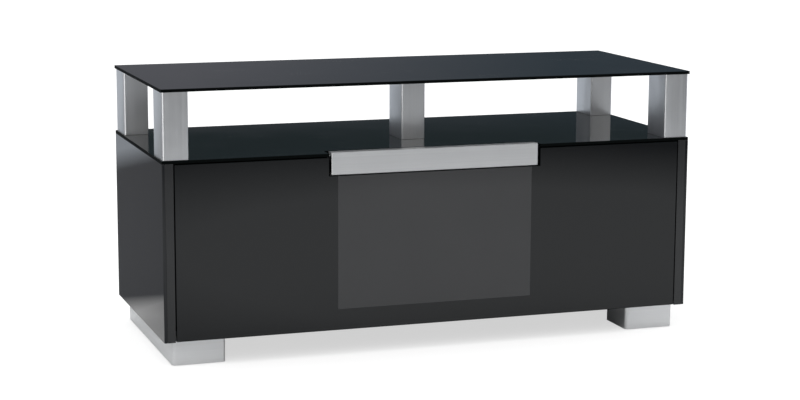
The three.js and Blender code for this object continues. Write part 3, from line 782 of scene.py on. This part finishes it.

# ---------------------------------------------------------------- the room
# A plain pale floor and a wide soft sky, which the camera sees as an even white. The glass mirrors
# them in greys. The floor it mirrors is painted light and shade: a painted pool of light in front,
# painted light close to the cabinet, behind it and to its left, and painted shade further off. The sky
# is dark at the horizon and bright overhead. Two soft boxes light the top and the left end.
FLOOR_DROP = 0.2 * MM
# Floor tones seen only in reflections: painted light and shade, not the floor's own colour.
PAINTED_POOL_CENTRE = (0.6, -1.1, 0)
FLOOR_CLOSE_PAINTED_LIGHT = (0.66, 0.66, 0.66, 1)
FLOOR_PAINTED_POOL_LIGHT = (0.52, 0.53, 0.54, 1)
FLOOR_FAR_PAINTED_SHADE = (0.085, 0.087, 0.093, 1)
FLOOR_BEHIND_PAINTED_LIGHT = (0.40, 0.43, 0.47, 1)
FLOOR_LEFT_PAINTED_LIGHT = (0.9, 0.9, 0.9, 1)
FLOOR_SEEN = (0.42, 0.42, 0.42, 1)
FLOOR_LIFT = (0.62, 0.62, 0.62, 1)
floor_mesh = bmesh.new()
bmesh.ops.create_grid(floor_mesh, x_segments=1, y_segments=1, size=40.0)
floor_data = bpy.data.meshes.new("floor")
floor_mesh.to_mesh(floor_data)
floor_mesh.free()
floor = bpy.data.objects.new("floor", floor_data)
floor.location.z = -FLOOR_DROP
bpy.context.scene.collection.objects.link(floor)

floor_paint, n, place, shader = material(
    "pale floor", Roughness=0.9, Specular_IOR_Level=0.1, Emission_Strength=1.0,
)
axes = n.add("ShaderNodeSeparateXYZ", {0: place}).outputs
offset = n.add("ShaderNodeVectorMath", {0: place, 1: PAINTED_POOL_CENTRE}, operation="SUBTRACT").outputs[0]
distance = n.add("ShaderNodeVectorMath", {0: offset}, operation="LENGTH").outputs["Value"]
# Painted pool of light round the pool centre, fading to painted shade further off.
tone = n.mix(n.ramp(distance, low=0.9, high=1.85), FLOOR_PAINTED_POOL_LIGHT, FLOOR_FAR_PAINTED_SHADE)
# Painted light: brighter patches of floor behind the cabinet and off to its left, seen only in reflections.
behind = n.math("ADD", axes["X"], axes["Y"])
tone = n.mix(n.ramp(behind, low=1.25, high=1.6), tone, FLOOR_BEHIND_PAINTED_LIGHT)
left = n.math("MULTIPLY", n.ramp(axes["X"], low=-1.1, high=-1.4), n.ramp(axes["Y"], low=0.6, high=0.2))
tone = n.mix(left, tone, FLOOR_LEFT_PAINTED_LIGHT)
# Painted light: the floor is made paler close round the cabinet, seen only in reflections.
half_width, half_depth = cad_bounds[1][0], cad_bounds[1][1]
beside = n.math("SUBTRACT", n.math("ABSOLUTE", axes["X"]), half_width)
before = n.math("SUBTRACT", n.math("ABSOLUTE", axes["Y"]), half_depth)
tone = n.mix(n.ramp(n.math("MAXIMUM", beside, before), low=0.04, high=0.2), FLOOR_CLOSE_PAINTED_LIGHT, tone)
seen = n.add("ShaderNodeLightPath").outputs["Is Camera Ray"]
connect(n, n.mix(seen, tone, FLOOR_SEEN), shader.inputs["Base Color"])
connect(n, n.mix(seen, (0, 0, 0, 1), FLOOR_LIFT), shader.inputs["Emission Color"])
floor_data.materials.append(floor_paint)

SKY_LOW_LEFT = (0.145, 0.148, 0.165, 1)
SKY_LOW_RIGHT = (0.048, 0.064, 0.078, 1)
SKY_BAND = (0.030, 0.042, 0.046, 1)
SKY_FRONT = (0.26, 0.26, 0.26, 1)
SKY_OVERHEAD = (1.65, 1.65, 1.65, 1)
SKY_SEEN = (1, 1, 1, 1)
sky = bpy.data.worlds.new("studio")
bpy.context.scene.world = sky
sky.use_nodes = True
n = Nodes(sky.node_tree)
way = n.add("ShaderNodeSeparateXYZ", {0: n.add("ShaderNodeTexCoord").outputs["Generated"]}).outputs
tone = n.mix(n.ramp(way["X"], low=0.22, high=0.40), SKY_LOW_LEFT, SKY_LOW_RIGHT)
tone = n.mix(n.ramp(way["Z"], low=0.118, high=0.14), tone, SKY_BAND)
tone = n.mix(n.ramp(way["Y"], low=-0.25, high=-0.7), tone, SKY_FRONT)
tone = n.mix(n.ramp(way["Z"], low=0.24, high=0.62), tone, SKY_OVERHEAD)
seen = n.add("ShaderNodeLightPath").outputs["Is Camera Ray"]
connect(n, n.mix(seen, tone, SKY_SEEN), sky.node_tree.nodes["Background"].inputs["Color"])


def softbox(name, location, target, width, height, watts):
    """A rectangular soft light facing a point."""
    light = bpy.data.lights.new(name, "AREA")
    light.shape = "RECTANGLE"
    light.size = width
    light.size_y = height
    light.energy = watts
    item = bpy.data.objects.new(name, light)
    item.location = location
    item.rotation_euler = (Vector(target) - Vector(location)).to_track_quat("-Z", "Y").to_euler()
    bpy.context.scene.collection.objects.link(item)


softbox("overhead softbox", (-0.3, 0.2, 3.4), target=(0, 0, 0.3), width=3.0, height=2.2, watts=26)
softbox("side softbox", (-3.0, 0.9, 0.75), target=(0, 0, 0.43), width=1.2, height=0.9, watts=3)

# ---------------------------------------------------------------- camera
# A long lens a little above the cabinet's top, to the left of the middle, looking slightly down
# along the front.
CAMERA_PLACE = (-1.3319, -3.8705, 0.9781)
CAMERA_TURN = -19.009
CAMERA_TILT = 90 - 9.922
CAMERA_ROLL = 0.242
camera = bpy.data.objects.new("camera", bpy.data.cameras.new("camera"))
camera.data.sensor_width = 36
camera.data.lens = 89.72
camera.data.clip_end = 200
camera.matrix_world = (
    Matrix.Translation(CAMERA_PLACE)
    @ Matrix.Rotation(math.radians(CAMERA_TURN), 4, "Z")
    @ Matrix.Rotation(math.radians(CAMERA_TILT), 4, "X")
    @ Matrix.Rotation(math.radians(CAMERA_ROLL), 4, "Z")
)
bpy.context.scene.collection.objects.link(camera)
bpy.context.scene.camera = camera
bpy.context.scene.view_settings.view_transform = "Standard"
